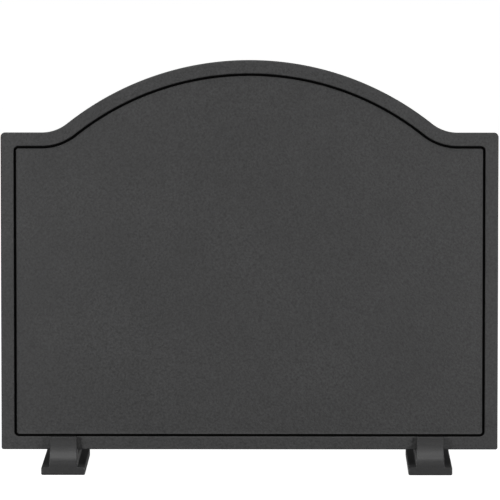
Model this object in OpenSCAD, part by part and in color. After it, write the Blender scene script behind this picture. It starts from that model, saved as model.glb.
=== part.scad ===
// Cast iron fireback: an arched plate with a raised rim that stands upright
// in two slotted feet. A set bolt with a lock nut behind each foot presses the
// plate against the foot's front jaw.
//
// The hearth is the plane Z = 0. The plate's front looks towards -Y.
// X = 0 is the middle of the plate, and Y = 0 the middle of the feet's length.

/* [Plate outline] */
// Width of the plate
plate_w = 610; // [570:5:760]
// Height of the two flat shoulders above the plate's lower edge
shoulder_h = 390; // [250:5:520]
// Height of the arch's crest above the shoulders
arch_rise = 89; // [60:1:110]
// Length of each flat shoulder, from the plate's side to the cove
shoulder_flat = 50; // [25:1:70]
// Radius of the concave cove between a shoulder and the arch
cove_r = 50; // [30:1:80]
// Radius of the plate's two upper corners
upper_corner_r = 5; // [2:0.5:12]
// Radius of the plate's two lower corners
lower_corner_r = 2.5; // [1:0.5:12]

/* [Plate section] */
// Thickness of the plate at its raised rim
plate_t = 11; // [9:0.5:16]
// Width of the raised rim
rim_w = 16; // [10:0.5:22]
// Step from the rim's face down to the field
field_drop = 2; // [1:0.25:3]
// Width of the narrow groove just inside the rim
groove_w = 3; // [1.5:0.25:6]
// Depth of the groove below the field
groove_d = 2.5; // [1:0.25:4]
// Corner radius of the field inside the groove
field_corner_r = 3; // [1:0.5:9]

/* [Feet] */
// Distance from the plate's left side to the left foot's middle
foot_left_in = 76.5; // [40:1:200]
// Distance from the plate's right side to the right foot's middle
foot_right_in = 83; // [40:1:200]
// Width of a foot's base
base_w = 54; // [44:1:70]
// Length of a foot's base, from front to back
base_l = 190; // [150:5:260]
// Thickness of a foot's base
base_t = 10; // [6:0.5:14]
// Corner radius of a foot's base, seen from above
base_corner_r = 2; // [1:0.5:10]
// Distance from a foot's front end back to the plate's front face
toe_reach = 24; // [20:0.5:30]
// Height of the slot's floor above the hearth, where the plate stands
slot_floor_h = 29; // [22:0.5:34]
// Room behind the plate in the slot, taken up by the set bolt
slot_slack = 3; // [1:0.25:6]

/* [Web of a foot] */
// Width of the web where it leaves the base
web_w = 34.5; // [28:0.5:42]
// Draft of the web's two sides, in degrees
web_draft = 2; // [1:0.5:7]
// Height of the upright front of the toe, below the sweep up to the front jaw
front_toe_h = 12; // [10:0.5:14]
// Radius of the sweep's convex part, at the toe
front_toe_r = 14; // [8:0.5:16]
// Thickness of the front jaw
front_jaw_t = 10.5; // [5:0.5:12]
// Height of the front jaw above the slot's floor
front_jaw_rise = 16.5; // [15:0.5:26]
// Height of the rear instep above the hearth
rear_instep_h = 18; // [14:0.5:20]
// Radius of the rear toe
rear_toe_r = 8; // [4:0.5:12]
// Radius of the curve from the rear instep up to the rear jaw
rear_cove_r = 6; // [3:0.5:8]
// Thickness of the rear jaw
rear_jaw_t = 16; // [10:0.5:22]
// Height of the rear jaw above the slot's floor
rear_jaw_rise = 33; // [26:0.5:45]
// Radius of the outer top edge of both jaws
jaw_edge_r = 1.5; // [0.5:0.5:4]

/* [Set bolts and lock nuts] */
// Thread diameter of the set bolt
bolt_d = 8; // [6:1:8]
// Length of the set bolt under its head
bolt_l = 30; // [28:1:45]
// Height of the set bolt's axis above the slot's floor
bolt_rise = 13; // [12:0.5:16]
// Height of the set bolt's head
bolt_head_h = 5.3; // [4:0.1:7]
// Width across flats of the bolt's head and the nut
hex_flats = 13; // [10:0.5:13]
// Thickness of the lock nut
nut_h = 4; // [3:0.1:5]
// Chamfer at the tip of the set bolt
bolt_tip_chamfer = 0.8; // [0.2:0.1:1.5]

/* [Clearances] */
// Gap between the set bolt's tip and the plate's back
tip_gap = 0.2; // [0.1:0.05:0.5]
// Radial clearance of the bolt in the jaw and in the nut
thread_clear = 0.05; // [0.02:0.01:0.1]

/* [Hidden] */
$fn = 96;

// Facets of the arch's large circle
arch_fn = 360;
// How far a cutting solid runs past the face that it cuts
cut_over = 1;

// How far a cove's circle cuts into what it touches, so that the two meet at
// one clear corner
cove_bite = 0.005;
// Flat left on a front jaw between the sweep and its rounded top edge
sweep_land = 0.8;

// The arch touches both coves, and each cove touches its shoulder
cove_x = plate_w / 2 - shoulder_flat;
arch_r = (cove_x * cove_x / arch_rise + arch_rise) / 2 - cove_r;
arch_z = shoulder_h + arch_rise - arch_r;

toe_y = -base_l / 2;
plate_front_y = toe_y + toe_reach;
plate_back_y = plate_front_y + plate_t;
slot_back_y = plate_back_y + slot_slack;
rear_face_y = slot_back_y + rear_jaw_t;

foot_left_x = foot_left_in - plate_w / 2;
foot_right_x = plate_w / 2 - foot_right_in;

front_jaw_h = slot_floor_h + front_jaw_rise;
front_face_y = plate_front_y - front_jaw_t;
// The sweep is two arcs that touch each other: convex at the toe, then concave
sweep_back = front_face_y - toe_y;
sweep_top_h = front_jaw_h - jaw_edge_r - sweep_land;
sweep_rise = sweep_top_h - front_toe_h;
sweep_r = (sweep_rise * sweep_rise + sweep_back * sweep_back) / (2 * sweep_back) - front_toe_r;
rear_jaw_h = slot_floor_h + rear_jaw_rise;
bolt_z = slot_floor_h + bolt_rise;
bolt_tip_y = plate_back_y + tip_gap;
bolt_r = bolt_d / 2;
bore_r = bolt_r + thread_clear;
// A hexagon's corner radius from its width across flats
hex_r = hex_flats / 2 / cos(30);

iron = [0.26, 0.26, 0.26];
feet_iron = [0.22, 0.22, 0.22];
steel = [0.45, 0.45, 0.46];

// Rectangle with its lower left corner at the origin, and with rounded corners
module rounded_rect(w, h, upper_r, lower_r) {
    difference() {
        square([w, h]);
        for (side = [0, 1]) {
            translate([side * w, h])
                mirror([side, 0])
                mirror([0, 1])
                corner_waste(upper_r);
            translate([side * w, 0])
                mirror([side, 0])
                corner_waste(lower_r);
        }
    }
}

// What a rounded corner of radius r removes at the origin from the quadrant +X +Y
module corner_waste(r) {
    difference() {
        translate([-cut_over, -cut_over])
            square(r + cut_over);
        translate([r, r])
            circle(r);
    }
}

// Plate outline, drawn in by the distance inset on every side. Its lower edge is
// Y = 0 of the drawing, so arcs keep their centres and only change radius.
module plate_outline(inset, upper_r, lower_r) {
    root_h = shoulder_h / 2;
    cove_top_h = shoulder_h + cove_r;
    touch_x = arch_r * cove_x / (arch_r + cove_r);
    difference() {
        union() {
            translate([-plate_w / 2 + inset, inset])
                rounded_rect(plate_w - 2 * inset, shoulder_h - 2 * inset, upper_r, lower_r);
            intersection() {
                translate([0, arch_z])
                    circle(arch_r - inset, $fn = arch_fn);
                translate([-cove_x, root_h])
                    square([2 * cove_x, shoulder_h + arch_rise]);
            }
            for (side = [-1, 1])
                translate([side * (cove_x + touch_x) / 2, (root_h + cove_top_h) / 2])
                    square([cove_x - touch_x, cove_top_h - root_h], center = true);
        }
        for (side = [-1, 1])
            translate([side * cove_x, cove_top_h])
                circle(cove_r + inset + cove_bite);
    }
}

// Stands a drawing up in the plate's place: from the depth "from" to the depth
// "to", both measured from the plate's front face towards its back
module plate_layer(from, to) {
    translate([0, plate_front_y + to, slot_floor_h])
        rotate([90, 0, 0])
        linear_extrude(to - from)
        children();
}

// The cast plate: raised rim, narrow groove beside it, and a flat field
module fireback_plate() {
    groove_in = rim_w + groove_w;
    groove_corner_r = field_corner_r + groove_w;
    color(iron)
    difference() {
        plate_layer(0, plate_t)
            plate_outline(0, upper_corner_r, lower_corner_r);
        plate_layer(-cut_over, field_drop)
            plate_outline(rim_w, groove_corner_r, groove_corner_r);
        plate_layer(field_drop - cut_over, field_drop + groove_d)
            difference() {
                plate_outline(rim_w, groove_corner_r, groove_corner_r);
                plate_outline(groove_in, field_corner_r, field_corner_r);
            }
    }
}

// Side view of the web in front of the slot, as Y against Z: an upright toe,
// a sweep that is convex and then concave, and the front jaw
module front_web() {
    touch = sweep_back * front_toe_r / (front_toe_r + sweep_r);
    difference() {
        union() {
            translate([toe_y, 0])
                square([toe_reach, front_toe_h]);
            translate([toe_y + front_toe_r, front_toe_h])
                circle(front_toe_r);
            translate([toe_y + touch, 0])
                square([toe_reach - touch, sweep_top_h]);
            translate([front_face_y, 0])
                square([front_jaw_t, front_jaw_h]);
        }
        translate([front_face_y - sweep_r, sweep_top_h])
            circle(sweep_r + cove_bite);
        translate([front_face_y, front_jaw_h])
            mirror([0, 1])
            corner_waste(jaw_edge_r);
    }
}

// Side view of the web behind the slot, as Y against Z: the rear jaw, a cove,
// and a low rib that runs back to a round toe
module rear_web() {
    difference() {
        translate([slot_back_y, 0])
            square([base_l / 2 - slot_back_y, rear_instep_h]);
        translate([base_l / 2, rear_instep_h])
            rotate(180)
            corner_waste(rear_toe_r);
    }
    difference() {
        translate([slot_back_y, 0])
            square([rear_jaw_t, rear_jaw_h]);
        translate([rear_face_y, rear_jaw_h])
            rotate(180)
            corner_waste(jaw_edge_r);
    }
    difference() {
        translate([rear_face_y, rear_instep_h])
            square(rear_cove_r);
        translate([rear_face_y + rear_cove_r, rear_instep_h + rear_cove_r])
            circle(rear_cove_r);
    }
}

// Side view of the whole web: the slot's floor joins its front and its rear
module web_profile() {
    front_web();
    translate([plate_front_y, 0])
        square([slot_back_y - plate_front_y, slot_floor_h]);
    rear_web();
}

// Front view of the web, as X against Z: narrower upwards by the draft
module web_section() {
    half_top = web_w / 2 - (rear_jaw_h - base_t) * tan(web_draft);
    half_low = web_w / 2 + base_t * tan(web_draft);
    polygon([
        [-half_low, 0],
        [half_low, 0],
        [half_top, rear_jaw_h],
        [-half_top, rear_jaw_h]
    ]);
}

// One cast foot, centred on X = 0: base, web, two jaws and the bolt's bore
module foot() {
    difference() {
        union() {
            linear_extrude(base_t)
                translate([-base_w / 2, -base_l / 2])
                rounded_rect(base_w, base_l, base_corner_r, base_corner_r);
            intersection() {
                translate([-base_w / 2, 0, 0])
                    rotate([90, 0, 90])
                    linear_extrude(base_w)
                    web_profile();
                translate([0, base_l / 2, 0])
                    rotate([90, 0, 0])
                    linear_extrude(base_l)
                    web_section();
            }
        }
        along_y(slot_back_y - cut_over, bolt_z)
            cylinder(h = rear_jaw_t + 2 * cut_over, r = bore_r);
    }
}

// Turns what is built along +Z to run along +Y, starting at y and at height z
module along_y(y, z) {
    translate([0, y, z])
        rotate([-90, 0, 0])
        children();
}

// Hexagonal set bolt, tip forwards: chamfered tip, shank and head
module set_bolt() {
    along_y(bolt_tip_y, bolt_z) {
        cylinder(h = bolt_tip_chamfer, r1 = bolt_r - bolt_tip_chamfer, r2 = bolt_r);
        translate([0, 0, bolt_tip_chamfer])
            cylinder(h = bolt_l - bolt_tip_chamfer, r = bolt_r);
        translate([0, 0, bolt_l])
            cylinder(h = bolt_head_h, r = hex_r, $fn = 6);
    }
}

// Thin lock nut, run up against the rear jaw
module lock_nut() {
    along_y(rear_face_y, bolt_z)
        difference() {
            cylinder(h = nut_h, r = hex_r, $fn = 6);
            translate([0, 0, -cut_over])
                cylinder(h = nut_h + 2 * cut_over, r = bore_r);
        }
}

module foot_left() {
    color(feet_iron)
        translate([foot_left_x, 0, 0])
        foot();
}

module foot_right() {
    color(feet_iron)
        translate([foot_right_x, 0, 0])
        foot();
}

module set_bolt_left() {
    color(steel)
        translate([foot_left_x, 0, 0])
        set_bolt();
}

module set_bolt_right() {
    color(steel)
        translate([foot_right_x, 0, 0])
        set_bolt();
}

module lock_nut_left() {
    color(steel)
        translate([foot_left_x, 0, 0])
        lock_nut();
}

module lock_nut_right() {
    color(steel)
        translate([foot_right_x, 0, 0])
        lock_nut();
}

fireback_plate();
foot_left();
foot_right();
set_bolt_left();
set_bolt_right();
lock_nut_left();
lock_nut_right();
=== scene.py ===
import math

import bmesh
import bpy
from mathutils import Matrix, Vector


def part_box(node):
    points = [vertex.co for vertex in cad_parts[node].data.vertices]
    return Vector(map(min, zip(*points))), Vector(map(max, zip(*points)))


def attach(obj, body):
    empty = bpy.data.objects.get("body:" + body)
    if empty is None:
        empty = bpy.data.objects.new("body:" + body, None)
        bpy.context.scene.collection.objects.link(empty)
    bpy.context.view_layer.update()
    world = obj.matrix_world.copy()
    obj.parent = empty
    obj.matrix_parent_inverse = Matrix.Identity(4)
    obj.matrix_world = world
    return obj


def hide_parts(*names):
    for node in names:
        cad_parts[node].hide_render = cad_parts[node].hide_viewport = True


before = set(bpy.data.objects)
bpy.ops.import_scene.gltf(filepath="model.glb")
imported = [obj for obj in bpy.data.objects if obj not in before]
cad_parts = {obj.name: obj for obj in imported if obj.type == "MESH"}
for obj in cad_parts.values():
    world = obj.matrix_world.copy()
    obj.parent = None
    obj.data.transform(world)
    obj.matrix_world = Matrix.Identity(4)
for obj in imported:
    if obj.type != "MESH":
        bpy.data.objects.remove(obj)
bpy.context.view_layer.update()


# ---- The view --------------------------------------------------------------
# The fireback is seen from straight in front through a long lens, from a little
# above the plate's crest, so that a narrow strip of each foot's top shows.

VIEW_PLACE = (0.0495, -7.5205, 0.947)
VIEW_LENS = 439.2
VIEW_SENSOR = 36
VIEW_DOWN = math.radians(5.152)
VIEW_TURN = math.radians(0.3757)
UPRIGHT = math.radians(90)

bpy.ops.object.select_all(action='DESELECT')
bpy.ops.object.camera_add(location=VIEW_PLACE, rotation=(UPRIGHT - VIEW_DOWN, 0, VIEW_TURN))
photo_camera = bpy.context.object
photo_camera.name = "photo_camera"
photo_camera.data.lens = VIEW_LENS
photo_camera.data.sensor_width = VIEW_SENSOR
bpy.context.scene.camera = photo_camera


# ---- The two feet ----------------------------------------------------------
# Two like feet of grey iron, cast in sand and painted matt black. Each is a flat
# base with a drafted web along its middle. The web sweeps up to a short front jaw
# and a higher rear jaw, and the plate stands in the slot between them.

MM = 0.001
BASE_HALF_W = 27 * MM
BASE_HALF_L = 95 * MM
BASE_TOP = 10 * MM
BASE_CORNER = 2 * MM
WEB_HALF_W = 17.25 * MM
WEB_DRAFT = math.radians(2)
FRONT_TOE_TOP = 12.5 * MM
FRONT_TOE = 14 * MM
FRONT_JAW_FACE = -81.5 * MM
FRONT_JAW_TOP = 45.5 * MM
SWEEP_TOP = 43.2 * MM
# The slot's faces are set back by a hair, so they don't coincide with the plate's.
SLOT_PLAY = 0.02 * MM
SLOT_FRONT = -71 * MM - SLOT_PLAY
SLOT_BACK = -57 * MM
SLOT_FLOOR = 29 * MM - SLOT_PLAY
REAR_JAW_FACE = -41 * MM
REAR_JAW_TOP = 62 * MM
REAR_INSTEP = 18 * MM
REAR_TOE = 5.8 * MM
REAR_COVE = 6 * MM
BOLT_AXIS_Z = 42 * MM
BORE_R = 4.05 * MM
BORE_OVERRUN = 2 * MM

# The widest rounding on a foot, along the web's long edges, and the share of it
# that the other edges get.
FOOT_ROUNDING = 3 * MM
FOOT_ROUND_STEPS = 4
WEB_ROOT_SHARE = 0.75
BASE_EDGE_SHARE = 0.5
JAW_OUTER_SHARE = 0.3
JAW_INNER_SHARE = 0.3
SLOT_CORNER_SHARE = 0.2
BASE_UNDER_SHARE = 0.25

PEN_POINT = 0.1 * MM
WELD = 0.01 * MM
FINE_WELD = 0.002 * MM
NEAR = 0.05 * MM
QUARTER = math.radians(90)
ALONG_X = (1, 0, 0)
TOE_STEPS = 8
SWEEP_STEPS = 12
EDGE_STEPS = 5
CORNER_STEPS = 5
BORE_FACES = 32
FLAT_ANGLE = math.radians(0.5)
SMOOTH_ANGLE = math.radians(50)

# The paint drifts between two greys. Its noises are the fine grains, the slow lumps
# and a dust, and nearly all their values lie between NOISE_LOW and NOISE_HIGH.
PAINT_DARK = (0.018, 0.018, 0.0185, 1)
PAINT_LIGHT = (0.024, 0.024, 0.0245, 1)
PAINT_TURN = (0.6, 0.5, 0.7)
GRAIN_DETAIL = 3.0
GRAIN_ROUGHNESS = 0.6
LUMP_DETAIL = 2.0
LUMP_ROUGHNESS = 0.5
DUST_SCALE = 9.0
DUST_DETAIL = 4.0
DUST_ROUGHNESS = 0.65
NOISE_LOW = 0.3
NOISE_HIGH = 0.7
FULL = 1.0

FOOT_SPECKLE = (0.7, 1.3)
FOOT_SHEEN = (0.42, 0.52)
FOOT_GLOSS = 0.48
FOOT_GRAIN = (1.6 * MM, 0.08 * MM)
FOOT_LUMPS = (14 * MM, 0.15 * MM)


def start_piece(name):
    """Opens a new, empty piece at the origin, ready to be drawn in edit mode."""
    bpy.ops.object.select_all(action='DESELECT')
    bpy.ops.mesh.primitive_plane_add(size=PEN_POINT)
    piece = bpy.context.object
    piece.name = name
    piece.data.name = name
    bpy.ops.object.mode_set(mode='EDIT')
    bpy.ops.mesh.select_mode(type='VERT')
    bpy.ops.mesh.select_all(action='SELECT')
    bpy.ops.mesh.delete(type='VERT')
    return piece


def pen_down(place):
    """Starts a new line, as a single point."""
    bpy.ops.mesh.select_all(action='DESELECT')
    bpy.ops.mesh.primitive_plane_add(size=PEN_POINT, location=place)
    bpy.ops.mesh.merge(type='CENTER')


def pen_to(place):
    """Draws a straight line from the selected end to a place."""
    drawing = bmesh.from_edit_mesh(bpy.context.object.data)
    end = next(point.co for point in drawing.verts if point.select)
    bpy.ops.mesh.extrude_region_move(TRANSFORM_OT_translate={"value": Vector(place) - end})


def pen_round(middle, axis, turn, steps):
    """Draws an arc from the selected end, about an axis through a middle."""
    bpy.ops.mesh.spin(steps=steps, angle=turn, center=middle, axis=axis)


def pick_edges(wanted):
    """Selects the edges for which wanted(one end, other end) holds."""
    bpy.ops.mesh.select_mode(type='EDGE')
    bpy.ops.mesh.select_all(action='DESELECT')
    data = bpy.context.object.data
    mesh = bmesh.from_edit_mesh(data)
    for edge in mesh.edges:
        if wanted(edge.verts[0].co, edge.verts[1].co):
            edge.select_set(True)
    bmesh.update_edit_mesh(data)


def pick_faces(wanted):
    """Selects the faces for which wanted(middle, normal) holds."""
    bpy.ops.mesh.select_mode(type='FACE')
    bpy.ops.mesh.select_all(action='DESELECT')
    data = bpy.context.object.data
    mesh = bmesh.from_edit_mesh(data)
    mesh.normal_update()
    for face in mesh.faces:
        if wanted(face.calc_center_median(), face.normal):
            face.select_set(True)
    bmesh.update_edit_mesh(data)


def extrude(x, y, z):
    """Pulls what is selected out by a distance along each axis."""
    bpy.ops.mesh.extrude_region_move(TRANSFORM_OT_translate={"value": (x, y, z)})


def apply_modifier(piece, kind, **settings):
    """Adds a modifier to a piece in object mode, sets it and applies it."""
    bpy.ops.object.select_all(action='DESELECT')
    piece.select_set(True)
    bpy.context.view_layer.objects.active = piece
    modifier = piece.modifiers.new(kind.lower(), kind)
    for key, value in settings.items():
        setattr(modifier, key, value)
    bpy.ops.object.modifier_apply(modifier=modifier.name)


def mirror_half(piece):
    """Adds the other half of a piece drawn on one side of X = 0."""
    apply_modifier(piece, 'MIRROR', merge_threshold=WELD)
    bpy.ops.object.mode_set(mode='EDIT')
    bpy.ops.mesh.select_all(action='SELECT')
    bpy.ops.mesh.remove_doubles(threshold=WELD)
    bpy.ops.mesh.normals_make_consistent(inside=False)


def cut_with(piece, tool, how):
    """Cuts a piece with a tool, or keeps what they share, and takes the tool away."""
    apply_modifier(piece, 'BOOLEAN', object=tool, operation=how, solver='EXACT')
    bpy.data.objects.remove(tool, do_unlink=True)


def smooth_piece(piece):
    """Welds what the cutting left, and shades roundings smooth and faces flat."""
    bpy.ops.object.select_all(action='DESELECT')
    piece.select_set(True)
    bpy.context.view_layer.objects.active = piece
    bpy.ops.object.mode_set(mode='EDIT')
    bpy.ops.mesh.select_all(action='SELECT')
    bpy.ops.mesh.remove_doubles(threshold=FINE_WELD)
    bpy.ops.mesh.dissolve_degenerate(threshold=FINE_WELD)
    bpy.ops.object.mode_set(mode='OBJECT')
    bpy.ops.object.shade_smooth_by_angle(angle=SMOOTH_ANGLE)
    apply_modifier(piece, 'WEIGHTED_NORMAL', keep_sharp=True)


def node_into(tree, kind, links=(), values=(), **settings):
    """Adds a shader node, sets it, and links or fills its sockets."""
    node = tree.nodes.new(kind)
    for key, value in settings.items():
        setattr(node, key, value)
    for key, source in dict(links).items():
        tree.links.new(source, node.inputs[key])
    for key, value in dict(values).items():
        node.inputs[key].default_value = value
    return node


def new_finish(name):
    """A new material with an empty node tree. Returns the material and the tree."""
    finish = bpy.data.materials.new(name)
    finish.use_nodes = True
    finish.node_tree.nodes.clear()
    return finish, finish.node_tree


def two_tone(tree, value, low, high, dark, light):
    """A colour that goes from dark at a low value to light at a high one."""
    ramp = node_into(tree, 'ShaderNodeValToRGB', {'Fac': value})
    first, last = ramp.color_ramp.elements
    first.position = low
    first.color = dark
    last.position = high
    last.color = light
    return ramp.outputs['Color']


def stretch(tree, value, band):
    """A noise's value stretched from its usual band to another one."""
    low, high = band
    return node_into(tree, 'ShaderNodeMapRange', {'Value': value},
                     {'From Min': NOISE_LOW, 'From Max': NOISE_HIGH,
                      'To Min': low, 'To Max': high}).outputs['Result']


def tint(tree, colour, by):
    """A colour multiplied by a value."""
    return node_into(tree, 'ShaderNodeMix', {'A': colour, 'B': by}, {'Factor': FULL},
                     data_type='RGBA', blend_type='MULTIPLY').outputs['Result']


def black_iron(name, dark, light, speckle, sheen, gloss, grain, lumps):
    """Matt black paint on cast iron.

    dark and light are the two greys that the paint drifts between, and speckle is
    what its grains multiply them by. sheen is its roughness from its pits to its
    crests, gloss its specular level, grain the size and height of its fine grains,
    and lumps those of the mould's unevenness.
    The noises are turned askew, as flat faces along their grid would show it.
    """
    finish, tree = new_finish(name)
    grain_size, grain_height = grain
    lump_size, lump_height = lumps
    here = node_into(tree, 'ShaderNodeTexCoord').outputs['Object']
    place = node_into(tree, 'ShaderNodeMapping', {'Vector': here},
                      {'Rotation': PAINT_TURN}).outputs['Vector']
    fine = node_into(tree, 'ShaderNodeTexNoise', {'Vector': place},
                     {'Scale': 1 / grain_size, 'Detail': GRAIN_DETAIL,
                      'Roughness': GRAIN_ROUGHNESS}).outputs['Fac']
    slow = node_into(tree, 'ShaderNodeTexNoise', {'Vector': place},
                     {'Scale': 1 / lump_size, 'Detail': LUMP_DETAIL,
                      'Roughness': LUMP_ROUGHNESS}).outputs['Fac']
    dust = node_into(tree, 'ShaderNodeTexNoise', {'Vector': place},
                     {'Scale': DUST_SCALE, 'Detail': DUST_DETAIL,
                      'Roughness': DUST_ROUGHNESS}).outputs['Fac']
    paint = two_tone(tree, dust, NOISE_LOW, NOISE_HIGH, dark, light)
    colour = tint(tree, paint, stretch(tree, fine, speckle))
    mould = node_into(tree, 'ShaderNodeBump', {'Height': slow},
                      {'Strength': FULL, 'Distance': lump_height})
    peel = node_into(tree, 'ShaderNodeBump', {'Height': fine, 'Normal': mould.outputs['Normal']},
                     {'Strength': FULL, 'Distance': grain_height})
    skin = node_into(tree, 'ShaderNodeBsdfPrincipled',
                     {'Base Color': colour, 'Roughness': stretch(tree, fine, sheen),
                      'Normal': peel.outputs['Normal']}, {'Specular IOR Level': gloss})
    node_into(tree, 'ShaderNodeOutputMaterial', {'Surface': skin.outputs['BSDF']})
    return finish


def coat(piece, *finishes):
    """Gives a piece its finishes, in the order of its material slots."""
    piece.data.materials.clear()
    for finish in finishes:
        piece.data.materials.append(finish)


def web_side(z):
    """Half the width of the drafted web at a height."""
    return WEB_HALF_W - (z - BASE_TOP) * math.tan(WEB_DRAFT)


def on_web_side(point):
    """Whether a point of the foot lies on one of the web's drafted sides."""
    return point.z > BASE_TOP - NEAR and abs(abs(point.x) - web_side(point.z)) < NEAR


# The sweep is two arcs that touch each other, each of the same turn.
SWEEP_BACK = FRONT_JAW_FACE + BASE_HALF_L
SWEEP_RISE = SWEEP_TOP - FRONT_TOE_TOP
BOTH_RADII = (SWEEP_RISE ** 2 + SWEEP_BACK ** 2) / (2 * SWEEP_BACK)
SWEEP_R = BOTH_RADII - FRONT_TOE
SWEEP_TURN = math.asin(SWEEP_RISE / BOTH_RADII)

foot = start_piece("foot_casting")

# Side view of the web and base at X = 0, from the front's underside round to the
# back's.
pen_down((0, -BASE_HALF_L, 0))
pen_to((0, -BASE_HALF_L, FRONT_TOE_TOP))
pen_round((0, FRONT_TOE - BASE_HALF_L, FRONT_TOE_TOP), ALONG_X, SWEEP_TURN, TOE_STEPS)
pen_round((0, FRONT_JAW_FACE - SWEEP_R, SWEEP_TOP), ALONG_X, -SWEEP_TURN, SWEEP_STEPS)
pen_to((0, FRONT_JAW_FACE, FRONT_JAW_TOP))
pen_to((0, SLOT_FRONT, FRONT_JAW_TOP))
pen_to((0, SLOT_FRONT, SLOT_FLOOR))
pen_to((0, SLOT_BACK, SLOT_FLOOR))
pen_to((0, SLOT_BACK, REAR_JAW_TOP))
pen_to((0, REAR_JAW_FACE, REAR_JAW_TOP))
pen_to((0, REAR_JAW_FACE, REAR_INSTEP + REAR_COVE))
pen_round((0, REAR_JAW_FACE + REAR_COVE, REAR_INSTEP + REAR_COVE), ALONG_X, -QUARTER,
          EDGE_STEPS)
pen_to((0, BASE_HALF_L - REAR_TOE, REAR_INSTEP))
pen_round((0, BASE_HALF_L - REAR_TOE, REAR_INSTEP - REAR_TOE), ALONG_X, QUARTER, EDGE_STEPS)
pen_to((0, BASE_HALF_L, 0))
pen_to((0, -BASE_HALF_L, 0))
bpy.ops.mesh.select_all(action='SELECT')
bpy.ops.mesh.remove_doubles(threshold=WELD)
bpy.ops.mesh.select_all(action='SELECT')
bpy.ops.mesh.edge_face_add()

# The view is pulled out to half the base's width, its side is cut back to the
# draft, and the lowest strip of that side is pulled out again as the base.
bpy.ops.mesh.select_all(action='SELECT')
extrude(BASE_HALF_W, 0, 0)
bpy.ops.mesh.select_all(action='SELECT')
bpy.ops.mesh.bisect(plane_co=(WEB_HALF_W, 0, BASE_TOP),
                    plane_no=(math.cos(WEB_DRAFT), 0, math.sin(WEB_DRAFT)),
                    use_fill=True, clear_outer=True)
bpy.ops.mesh.select_all(action='SELECT')
bpy.ops.mesh.bisect(plane_co=(0, 0, BASE_TOP), plane_no=(0, 0, 1))
bpy.ops.mesh.select_all(action='SELECT')
bpy.ops.mesh.normals_make_consistent(inside=False)
SIDEWAYS = 0.9
pick_faces(lambda middle, normal: normal.x > SIDEWAYS and middle.z < BASE_TOP)
extrude(BASE_HALF_W - WEB_HALF_W, 0, 0)
bpy.ops.transform.resize(value=(0, 1, 1), center_override=(BASE_HALF_W, 0, 0))
pick_faces(lambda middle, normal: middle.x < NEAR and abs(normal.x) > SIDEWAYS)
bpy.ops.mesh.delete(type='FACE')
bpy.ops.object.mode_set(mode='OBJECT')
mirror_half(foot)
bpy.ops.mesh.select_all(action='SELECT')
bpy.ops.mesh.dissolve_limited(angle_limit=FLAT_ANGLE)

# The base's four upright corners are rounded first, and then every edge at once.
pick_edges(lambda a, b: min(abs(a.x), abs(b.x)) > BASE_HALF_W - NEAR
           and min(abs(a.y), abs(b.y)) > BASE_HALF_L - NEAR)
bpy.ops.mesh.bevel(offset=BASE_CORNER, segments=CORNER_STEPS, affect='EDGES')
pick_edges(lambda a, b: on_web_side(a) and on_web_side(b)
           and max(a.z, b.z) < BASE_TOP + NEAR)
bpy.ops.transform.edge_bevelweight(value=WEB_ROOT_SHARE)
pick_edges(lambda a, b: on_web_side(a) and on_web_side(b)
           and max(a.z, b.z) > BASE_TOP + NEAR)
bpy.ops.transform.edge_bevelweight(value=FULL)
pick_edges(lambda a, b: abs(a.z - BASE_TOP) < NEAR and abs(b.z - BASE_TOP) < NEAR
           and max(abs(a.x), abs(b.x)) > WEB_HALF_W + NEAR)
bpy.ops.transform.edge_bevelweight(value=BASE_EDGE_SHARE)
pick_edges(lambda a, b: max(a.z, b.z) < NEAR)
bpy.ops.transform.edge_bevelweight(value=BASE_UNDER_SHARE)
for jaw_y, jaw_z, share in ((FRONT_JAW_FACE, FRONT_JAW_TOP, JAW_OUTER_SHARE),
                            (REAR_JAW_FACE, REAR_JAW_TOP, JAW_OUTER_SHARE),
                            (SLOT_FRONT, FRONT_JAW_TOP, JAW_INNER_SHARE),
                            (SLOT_BACK, REAR_JAW_TOP, JAW_INNER_SHARE),
                            (SLOT_FRONT, SLOT_FLOOR, SLOT_CORNER_SHARE),
                            (SLOT_BACK, SLOT_FLOOR, SLOT_CORNER_SHARE)):
    pick_edges(lambda a, b: all(abs(end.y - jaw_y) < NEAR and abs(end.z - jaw_z) < NEAR
                                for end in (a, b)))
    bpy.ops.transform.edge_bevelweight(value=share)
bpy.ops.object.mode_set(mode='OBJECT')
apply_modifier(foot, 'BEVEL', limit_method='WEIGHT', width=FOOT_ROUNDING,
               segments=FOOT_ROUND_STEPS, use_clamp_overlap=True)

# The bore of the set bolt, through the rear jaw.
bpy.ops.object.select_all(action='DESELECT')
bpy.ops.mesh.primitive_cylinder_add(
    vertices=BORE_FACES, radius=BORE_R, depth=REAR_JAW_FACE - SLOT_BACK + BORE_OVERRUN,
    location=(0, (REAR_JAW_FACE + SLOT_BACK) / 2, BOLT_AXIS_Z), rotation=(QUARTER, 0, 0))
cut_with(foot, bpy.context.object, 'DIFFERENCE')

coat(foot, black_iron("foot_iron", PAINT_DARK, PAINT_LIGHT, FOOT_SPECKLE, FOOT_SHEEN,
                      FOOT_GLOSS, FOOT_GRAIN, FOOT_LUMPS))
smooth_piece(foot)


def put_copy(pattern, name, node, body):
    """Puts a copy of a pattern piece, with its own mesh, where a CAD node stands."""
    copy = pattern.copy()
    copy.data = pattern.data.copy()
    copy.name = name
    copy.data.name = name
    bpy.context.collection.objects.link(copy)
    low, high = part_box(node)
    copy.location.x = (low.x + high.x) / 2
    bpy.ops.object.select_all(action='DESELECT')
    copy.select_set(True)
    bpy.context.view_layer.objects.active = copy
    bpy.ops.object.transform_apply(location=True, rotation=False, scale=False)
    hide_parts(node)
    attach(copy, body)


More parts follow.
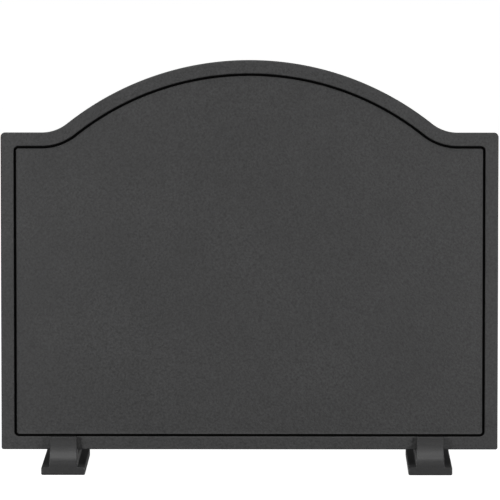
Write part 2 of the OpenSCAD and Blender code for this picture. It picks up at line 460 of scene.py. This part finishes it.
def put_pair(pattern, name, node):
    """Puts a left and a right copy of a pattern piece, and takes the pattern away.

    Each of the two CAD nodes has a body of the same name.
    """
    for side in ("_left", "_right"):
        put_copy(pattern, name + side, node + side, node + side)
    bpy.data.objects.remove(pattern, do_unlink=True)


put_pair(foot, "cast_foot", "foot")


# ---- The plate -------------------------------------------------------------
# One iron casting, painted like the feet: an arched plate with a raised flat rim,
# a narrow groove cast just inside the rim, and a plain field with a grainy skin.
# It stands in the slots of the feet, and is lifted out upwards.

PLATE_HALF_W = 305 * MM
SHOULDER_H = 390 * MM
ARCH_RISE = 89 * MM
COVE_X = 255 * MM
COVE_R = 50 * MM
PLATE_T = 11 * MM
PLATE_FRONT = -71 * MM
PLATE_FOOT = 29 * MM
UPPER_CORNER = 5 * MM
LOWER_CORNER = 2.5 * MM
RIM_W = 16 * MM
GROOVE_W = 3 * MM
GROOVE_FLOOR = 4.5 * MM
FIELD_DEPTH = 2 * MM
FIELD_CORNER = 3 * MM
SHARPEST = 0.6 * MM

# The roundings along the section, and the low lip round the field.
BACK_EDGE = 1.2 * MM
FRONT_EDGE = 1.2 * MM
RIM_INNER_EDGE = 1.2 * MM
GROOVE_SLOPE = 0.2 * MM
GROOVE_ROOT = 0.4 * MM
FIELD_LIP = 0.8 * MM
FIELD_LIP_W = 3.4 * MM
FIELD_LIP_EDGE = 0.3 * MM

ROUND_STEPS = 4
PLATE_CORNER_STEPS = 8
COVE_ARC_STEPS = 16
ARCH_ARC_STEPS = 60
ALONG_Y = (0, 1, 0)

PLATE_SPECKLE = (0.25, 1.75)
PLATE_SHEEN = (0.52, 0.72)
PLATE_GLOSS = 0.62
PLATE_GRAIN = (2.6 * MM, 0.4 * MM)
PLATE_LUMPS = (22 * MM, 0.25 * MM)

# The groove is painted near-black as a painted shade, between these depths behind the rim.
GROOVE_SHADE_FROM = 2.1 * MM
GROOVE_SHADE_TO = 4.6 * MM
GROOVE_SHADE_SLOT = 1
GROOVE_SHADE_DARK = (0.003, 0.003, 0.003, 1)
GROOVE_SHADE_LIGHT = (0.005, 0.005, 0.005, 1)
GROOVE_SHADE_SPECKLE = (0.8, 1.2)
GROOVE_SHADE_SHEEN = (0.8, 0.95)
GROOVE_SHADE_GLOSS = 0.03
GROOVE_SHADE_GRAIN = (1.2 * MM, 0.05 * MM)
GROOVE_SHADE_LUMPS = (9 * MM, 0.05 * MM)

# The arch's circle touches both coves.
ARCH_R = (COVE_X ** 2 / ARCH_RISE + ARCH_RISE) / 2 - COVE_R
ARCH_Z = PLATE_FOOT + SHOULDER_H + ARCH_RISE - ARCH_R
COVE_Z = PLATE_FOOT + SHOULDER_H + COVE_R
ARCH_TURN = math.atan2(COVE_X, COVE_Z - ARCH_Z)
GROOVE_IN = RIM_W + GROOVE_W


def quarter_round(inset, depth, radius, start):
    """Points of a quarter circle, as (inset, depth), from a starting angle on."""
    points = []
    for step in range(ROUND_STEPS + 1):
        angle = start + QUARTER * step / ROUND_STEPS
        points.append((inset + radius * math.cos(angle), depth + radius * math.sin(angle)))
    return points


def corner_radius(inset, outer):
    """A corner of the outline shrinks as the outline is drawn in, and the
    groove's corners are struck from the same middle as the field's."""
    if inset < RIM_W / 2:
        return max(outer - inset, SHARPEST)
    return max(FIELD_CORNER + GROOVE_IN - inset, SHARPEST)


def draw_outline(inset, depth):
    """Half of the plate's outline, drawn in by inset, at a depth behind the rim."""
    y = PLATE_FRONT + depth
    low = PLATE_FOOT + inset
    side = PLATE_HALF_W - inset
    shoulder = PLATE_FOOT + SHOULDER_H - inset
    low_r = corner_radius(inset, LOWER_CORNER)
    top_r = corner_radius(inset, UPPER_CORNER)
    pen_down((0, y, low))
    pen_to((side - low_r, y, low))
    pen_round((side - low_r, y, low + low_r), ALONG_Y, QUARTER, PLATE_CORNER_STEPS)
    pen_to((side, y, shoulder - top_r))
    pen_round((side - top_r, y, shoulder - top_r), ALONG_Y, QUARTER, PLATE_CORNER_STEPS)
    pen_to((COVE_X, y, shoulder))
    pen_round((COVE_X, y, COVE_Z), ALONG_Y, -ARCH_TURN, COVE_ARC_STEPS)
    pen_round((0, y, ARCH_Z), ALONG_Y, ARCH_TURN, ARCH_ARC_STEPS)


def pick_points(first, last, side=PLATE_HALF_W):
    """Selects the points drawn from first up to last, no further out than side."""
    bpy.ops.mesh.select_mode(type='VERT')
    bpy.ops.mesh.select_all(action='DESELECT')
    data = bpy.context.object.data
    drawing = bmesh.from_edit_mesh(data)
    for number, point in enumerate(drawing.verts):
        point.select_set(first <= number < last and abs(point.co.x) < side + NEAR)
    drawing.select_flush(True)
    bmesh.update_edit_mesh(data)


def fill_outline(first, last):
    """Closes an outline along the plate's middle, and fills it with one face."""
    pick_points(first, last, side=0)
    bpy.ops.mesh.edge_face_add()
    pick_points(first, last)
    bpy.ops.mesh.edge_face_add()


# The plate's section, from its back edge forwards over the rim into the field.
HALF_TURN = math.radians(180)
section = quarter_round(BACK_EDGE, PLATE_T - BACK_EDGE, BACK_EDGE, QUARTER)
section += quarter_round(FRONT_EDGE, FRONT_EDGE, FRONT_EDGE, HALF_TURN)
section += quarter_round(RIM_W - RIM_INNER_EDGE, RIM_INNER_EDGE, RIM_INNER_EDGE, -QUARTER)
section += [
    (RIM_W + GROOVE_SLOPE, GROOVE_FLOOR - GROOVE_ROOT),
    (RIM_W + GROOVE_SLOPE + GROOVE_ROOT, GROOVE_FLOOR),
    (GROOVE_IN - GROOVE_SLOPE - GROOVE_ROOT, GROOVE_FLOOR),
    (GROOVE_IN - GROOVE_SLOPE, GROOVE_FLOOR - GROOVE_ROOT),
    (GROOVE_IN, FIELD_DEPTH - FIELD_LIP + FIELD_LIP_EDGE),
    (GROOVE_IN + FIELD_LIP_EDGE, FIELD_DEPTH - FIELD_LIP),
    (GROOVE_IN + FIELD_LIP_W, FIELD_DEPTH),
]

# Each outline is drawn in turn and bridged to the one before it. drawn holds how
# many points there were before the first outline and after each.
plate = start_piece("cast_plate")
drawn = [0]
for inset, depth in section:
    draw_outline(inset, depth)
    drawn.append(len(bmesh.from_edit_mesh(plate.data).verts))
    if len(drawn) > 2:
        pick_points(drawn[-3], drawn[-1])
        bpy.ops.mesh.bridge_edge_loops()
fill_outline(drawn[0], drawn[1])
fill_outline(drawn[-2], drawn[-1])
bpy.ops.mesh.select_all(action='SELECT')
bpy.ops.mesh.normals_make_consistent(inside=False)
bpy.ops.object.mode_set(mode='OBJECT')
mirror_half(plate)
bpy.ops.object.mode_set(mode='OBJECT')

# The groove's walls get a near-black, dull paint as a painted shade, so it reads as a black
# line.
coat(plate,
     black_iron("plate_iron", PAINT_DARK, PAINT_LIGHT, PLATE_SPECKLE, PLATE_SHEEN, PLATE_GLOSS,
                PLATE_GRAIN, PLATE_LUMPS),
     black_iron("groove_painted_shade", GROOVE_SHADE_DARK, GROOVE_SHADE_LIGHT, GROOVE_SHADE_SPECKLE, GROOVE_SHADE_SHEEN, GROOVE_SHADE_GLOSS,
                GROOVE_SHADE_GRAIN, GROOVE_SHADE_LUMPS))
bpy.ops.object.mode_set(mode='EDIT')
pick_faces(lambda middle, normal: GROOVE_SHADE_FROM < middle.y - PLATE_FRONT < GROOVE_SHADE_TO)
plate.active_material_index = GROOVE_SHADE_SLOT
bpy.ops.object.material_slot_assign()
bpy.ops.object.mode_set(mode='OBJECT')
smooth_piece(plate)
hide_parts("fireback_plate")
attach(plate, "plate")


# ---- The set bolts -----------------------------------------------------------
# Two M8 hexagon bolts of zinc-plated steel, with a rolled thread up to the head.
# Each is screwed forwards through a foot's rear jaw until it meets the plate.

BOLT_TIP = -59.8 * MM
HEAD_UNDER = -29.8 * MM
HEAD_TOP = -24.5 * MM
BOLT_R = 4 * MM
TIP_CHAMFER = 0.8 * MM
NECK_R = 3.3 * MM
NECK_L = 1.2 * MM
WASHER_FACE_R = 5.9 * MM
WASHER_FACE_H = 0.3 * MM
HEX_R = 7.505 * MM
HEX_SIDES = 6
HEX_FACE_R = 6.2 * MM
CHAMFER_R = 9 * MM
CHAMFER_ANGLE = math.radians(30)
CHAMFER_H = (CHAMFER_R - HEX_FACE_R) * math.tan(CHAMFER_ANGLE)
HEX_EDGE = 0.12 * MM
HEX_EDGE_STEPS = 2
COLLAR_DEEP = 1 * MM
PITCH = 1.25 * MM
THREAD_ROOT_R = 3.233 * MM
THREAD_ROOT_W = 0.31 * MM
THREAD_CREST_W = 0.16 * MM
THREAD_FLANK = (PITCH - THREAD_ROOT_W - THREAD_CREST_W) / 2
THREAD_TURNS = 28
THREAD_LEAD = 2 * PITCH
ROUND_FACES = 48
FULL_TURN = math.radians(360)
FOUR_SIDES = 4

# The zinc is cloudy between two greys, with small darker spots and a faint brushing.
BOLT_DARK = (0.36, 0.36, 0.37, 1)
BOLT_LIGHT = (0.52, 0.52, 0.54, 1)
CLOUD_SCALE = 260.0
CLOUD_DETAIL = 4.0
CLOUD_ROUGHNESS = 0.6
CLOUD_LOW = 0.35
CLOUD_HIGH = 0.65
SPOT_SCALE = 900.0
SPOT_REACH = 0.6
SPOT_MIDDLE = 0.82
SPOT_EDGE = 1.08
BRUSH_SCALE = (2600.0, 300.0, 2600.0)
BRUSH_NOISE_SCALE = 1.0
BRUSH_DETAIL = 2.0
BRUSH_STRENGTH = 0.6
BRUSH_HEIGHT = 0.012 * MM
STEEL_SHEEN = (0.36, 0.52)


def turn_round(name, outline):
    """A round piece turned about the Y axis, from points of (place along Y, radius)."""
    piece = start_piece(name)
    (start, start_radius), *rest = outline
    pen_down((0, start, start_radius))
    for along, radius in rest:
        pen_to((0, along, radius))
    bpy.ops.mesh.select_all(action='SELECT')
    bpy.ops.mesh.spin(steps=ROUND_FACES, angle=FULL_TURN, center=(0, 0, 0), axis=ALONG_Y)
    bpy.ops.mesh.select_all(action='SELECT')
    bpy.ops.mesh.remove_doubles(threshold=WELD)
    bpy.ops.mesh.normals_make_consistent(inside=False)
    bpy.ops.object.mode_set(mode='OBJECT')
    return piece


def hexagon(name, low_y, high_y, outline):
    """A hexagonal piece along the Y axis, trimmed to the round shape of an outline."""
    bpy.ops.object.select_all(action='DESELECT')
    bpy.ops.mesh.primitive_cylinder_add(
        vertices=HEX_SIDES, radius=HEX_R, depth=high_y - low_y,
        location=(0, (low_y + high_y) / 2, 0), rotation=(QUARTER, 0, 0))
    piece = bpy.context.object
    piece.name = name
    piece.data.name = name
    bpy.ops.object.transform_apply(location=True, rotation=True, scale=False)
    bpy.ops.object.mode_set(mode='EDIT')
    pick_edges(lambda a, b: abs(a.y - b.y) > NEAR)
    bpy.ops.mesh.bevel(offset=HEX_EDGE, segments=HEX_EDGE_STEPS, affect='EDGES')
    bpy.ops.object.mode_set(mode='OBJECT')
    cut_with(piece, turn_round(name + "_trim", outline), 'INTERSECT')
    return piece


def raise_to_axis(piece):
    """Lifts a piece made about the Y axis to the height of the bolt's axis."""
    bpy.ops.object.mode_set(mode='EDIT')
    bpy.ops.mesh.select_all(action='SELECT')
    bpy.ops.transform.translate(value=(0, 0, BOLT_AXIS_Z))
    bpy.ops.object.mode_set(mode='OBJECT')


# The thread is one pitch of its outline, screwed along the bolt from before its tip
# to past its neck, and then trimmed to the shank with its chamfered tip and plain neck.
thread = start_piece("bolt_thread")
pen_down((0, 0, THREAD_ROOT_R))
pen_to((0, THREAD_ROOT_W, THREAD_ROOT_R))
pen_to((0, THREAD_ROOT_W + THREAD_FLANK, BOLT_R))
pen_to((0, PITCH - THREAD_FLANK, BOLT_R))
pen_to((0, PITCH, THREAD_ROOT_R))
bpy.ops.object.mode_set(mode='OBJECT')
apply_modifier(thread, 'SCREW', axis='Y', angle=FULL_TURN, screw_offset=PITCH,
               iterations=THREAD_TURNS, steps=ROUND_FACES, render_steps=ROUND_FACES,
               use_merge_vertices=True, merge_threshold=WELD)
bpy.ops.object.mode_set(mode='EDIT')
bpy.ops.mesh.select_all(action='SELECT')
bpy.ops.mesh.remove_doubles(threshold=WELD)
bpy.ops.mesh.select_all(action='SELECT')
bpy.ops.transform.translate(value=(0, BOLT_TIP - THREAD_LEAD, 0))
bpy.ops.mesh.select_all(action='SELECT')
bpy.ops.mesh.fill_holes(sides=0)
bpy.ops.mesh.select_mode(type='FACE')
bpy.ops.mesh.select_all(action='DESELECT')
bpy.ops.mesh.select_face_by_sides(number=FOUR_SIDES, type='GREATER')
bpy.ops.mesh.poke()
bpy.ops.mesh.select_all(action='SELECT')
bpy.ops.mesh.normals_make_consistent(inside=False)
bpy.ops.object.mode_set(mode='OBJECT')
shank = turn_round("shank_trim", (
    (BOLT_TIP, 0), (BOLT_TIP, BOLT_R - TIP_CHAMFER), (BOLT_TIP + TIP_CHAMFER, BOLT_R),
    (HEAD_UNDER - NECK_L, BOLT_R), (HEAD_UNDER - NECK_L + BOLT_R - NECK_R, NECK_R),
    (HEAD_UNDER + COLLAR_DEEP, NECK_R), (HEAD_UNDER + COLLAR_DEEP, 0)))
cut_with(thread, shank, 'INTERSECT')

# The head is a hexagon with its outer face turned to a chamfer. A low round face
# under it bears on what it is screwed against.
bolt = hexagon("bolt_head", HEAD_UNDER + WASHER_FACE_H, HEAD_TOP, (
    (HEAD_UNDER - COLLAR_DEEP, 0), (HEAD_UNDER - COLLAR_DEEP, CHAMFER_R),
    (HEAD_TOP - CHAMFER_H, CHAMFER_R), (HEAD_TOP, HEX_FACE_R), (HEAD_TOP, 0)))
collar = turn_round("bolt_collar", (
    (HEAD_UNDER, 0), (HEAD_UNDER, WASHER_FACE_R), (HEAD_UNDER + COLLAR_DEEP, WASHER_FACE_R),
    (HEAD_UNDER + COLLAR_DEEP, 0)))
cut_with(bolt, collar, 'UNION')
cut_with(bolt, thread, 'UNION')
raise_to_axis(bolt)


def plated_steel(name, dark, light):
    """Zinc plate on steel: cloudy, brushed faintly along its axis, with small spots."""
    finish, tree = new_finish(name)
    place = node_into(tree, 'ShaderNodeTexCoord').outputs['Object']
    cloud = node_into(tree, 'ShaderNodeTexNoise', {'Vector': place},
                      {'Scale': CLOUD_SCALE, 'Detail': CLOUD_DETAIL,
                       'Roughness': CLOUD_ROUGHNESS}).outputs['Fac']
    spots = node_into(tree, 'ShaderNodeTexVoronoi', {'Vector': place}, {'Scale': SPOT_SCALE})
    drawn_out = node_into(tree, 'ShaderNodeMapping', {'Vector': place}, {'Scale': BRUSH_SCALE})
    brushed = node_into(tree, 'ShaderNodeTexNoise', {'Vector': drawn_out.outputs['Vector']},
                        {'Scale': BRUSH_NOISE_SCALE, 'Detail': BRUSH_DETAIL})
    zinc = two_tone(tree, cloud, CLOUD_LOW, CLOUD_HIGH, dark, light)
    worn = node_into(tree, 'ShaderNodeMapRange', {'Value': spots.outputs['Distance']},
                     {'From Max': SPOT_REACH, 'To Min': SPOT_MIDDLE, 'To Max': SPOT_EDGE})
    lines = node_into(tree, 'ShaderNodeBump', {'Height': brushed.outputs['Fac']},
                      {'Strength': BRUSH_STRENGTH, 'Distance': BRUSH_HEIGHT})
    skin = node_into(tree, 'ShaderNodeBsdfPrincipled',
                     {'Base Color': tint(tree, zinc, worn.outputs['Result']),
                      'Roughness': stretch(tree, cloud, STEEL_SHEEN),
                      'Normal': lines.outputs['Normal']}, {'Metallic': FULL})
    node_into(tree, 'ShaderNodeOutputMaterial', {'Surface': skin.outputs['BSDF']})
    return finish


coat(bolt, plated_steel("bolt_steel", BOLT_DARK, BOLT_LIGHT))
smooth_piece(bolt)
put_pair(bolt, "hex_bolt", "set_bolt")


# ---- The lock nuts -----------------------------------------------------------
# Two thin M8 nuts of the same plated steel, chamfered on both faces. Each is run
# along its bolt against the rear jaw, to keep the bolt from working loose.

NUT_FRONT = -41 * MM
NUT_BACK = -37 * MM
SINK_R = 4.6 * MM
SINK_H = SINK_R - BORE_R
NUT_DARK = (0.32, 0.32, 0.33, 1)
NUT_LIGHT = (0.47, 0.47, 0.49, 1)

nut = hexagon("thin_nut", NUT_FRONT, NUT_BACK, (
    (NUT_FRONT, 0), (NUT_FRONT, HEX_FACE_R), (NUT_FRONT + CHAMFER_H, CHAMFER_R),
    (NUT_BACK - CHAMFER_H, CHAMFER_R), (NUT_BACK, HEX_FACE_R), (NUT_BACK, 0)))
bore = turn_round("nut_bore", (
    (NUT_FRONT - SINK_H, 0), (NUT_FRONT - SINK_H, SINK_R + SINK_H), (NUT_FRONT + SINK_H, BORE_R),
    (NUT_BACK - SINK_H, BORE_R), (NUT_BACK + SINK_H, SINK_R + SINK_H), (NUT_BACK + SINK_H, 0)))
cut_with(nut, bore, 'DIFFERENCE')
raise_to_axis(nut)
coat(nut, plated_steel("nut_steel", NUT_DARK, NUT_LIGHT))
smooth_piece(nut)
put_pair(nut, "thin_nut", "lock_nut")


# ---- Floor and light ---------------------------------------------------------
# A plain pale floor in a white surround that sheds little light of its own, a large
# soft light overhead, a weaker one high in front, two low ones at the front's sides
# for the jaws' shadows on the rim, and two at the back for the plate's rear.

FLOOR_SIZE = 30
FLOOR_GREY = (0.15, 0.15, 0.15, 1)
FLOOR_ROUGHNESS = 0.9
WHITE = (1, 1, 1, 1)

# The glows are what the camera sees of the floor and the surround. The bounce and
# the fill are what the two shed on the iron.
FLOOR_GLOW = 1.0
FLOOR_BOUNCE = 0.06
WALL_GLOW = 1.05
WALL_FILL = 0.02

LIGHT_AIM = (0, 0, 0.25)
KEY_PLACE = (-0.2, -0.55, 2.0)
KEY_SIZE = (2.0, 0.9)
KEY_POWER = 25
HIGH_PLACE = (0, -1.6, 1.6)
HIGH_SIZE = (1.2, 0.6)
HIGH_POWER = 6
SIDE_LEFT = (-0.95, -1.25, 0.18)
SIDE_RIGHT = (0.95, -1.25, 0.18)
SIDE_SIZE = (0.4, 0.4)
SIDE_POWER = 9.3
BACK_LEFT = (-1.7, 1.1, 0.5)
BACK_RIGHT = (1.7, 1.1, 0.5)
BACK_SIZE = (1.2, 1.0)
BACK_POWER = 17

bpy.ops.object.select_all(action='DESELECT')
bpy.ops.mesh.primitive_plane_add(size=FLOOR_SIZE)
floor = bpy.context.object
floor.name = "floor"
paper, paper_tree = new_finish("floor_paper")
looked_at = node_into(paper_tree, 'ShaderNodeLightPath').outputs['Is Camera Ray']
paper_glow = node_into(paper_tree, 'ShaderNodeMapRange', {'Value': looked_at},
                       {'To Min': FLOOR_BOUNCE, 'To Max': FLOOR_GLOW})
matt = node_into(paper_tree, 'ShaderNodeBsdfPrincipled',
                 {'Emission Strength': paper_glow.outputs['Result']},
                 {'Base Color': FLOOR_GREY, 'Roughness': FLOOR_ROUGHNESS,
                  'Emission Color': WHITE})
node_into(paper_tree, 'ShaderNodeOutputMaterial', {'Surface': matt.outputs['BSDF']})
floor.data.materials.append(paper)

surround = bpy.data.worlds.new("studio")
bpy.context.scene.world = surround
surround.use_nodes = True
walls = surround.node_tree
walls.nodes.clear()
seen = node_into(walls, 'ShaderNodeLightPath').outputs['Is Camera Ray']
glow = node_into(walls, 'ShaderNodeMapRange', {'Value': seen},
                 {'To Min': WALL_FILL, 'To Max': WALL_GLOW})
sky = node_into(walls, 'ShaderNodeBackground', {'Strength': glow.outputs['Result']},
                {'Color': WHITE})
node_into(walls, 'ShaderNodeOutputWorld', {'Surface': sky.outputs['Background']})

for lamp, place, size, power in (("key_light", KEY_PLACE, KEY_SIZE, KEY_POWER),
                                 ("high_light", HIGH_PLACE, HIGH_SIZE, HIGH_POWER),
                                 ("side_light_left", SIDE_LEFT, SIDE_SIZE, SIDE_POWER),
                                 ("side_light_right", SIDE_RIGHT, SIDE_SIZE, SIDE_POWER),
                                 ("back_light_left", BACK_LEFT, BACK_SIZE, BACK_POWER),
                                 ("back_light_right", BACK_RIGHT, BACK_SIZE, BACK_POWER)):
    aim = Vector(LIGHT_AIM) - Vector(place)
    bpy.ops.object.light_add(type='AREA', location=place,
                             rotation=aim.to_track_quat('-Z', 'Y').to_euler())
    light = bpy.context.object
    light.name = lamp
    light.data.shape = 'RECTANGLE'
    light.data.size, light.data.size_y = size
    light.data.energy = power
bpy.context.scene.view_settings.view_transform = 'Standard'
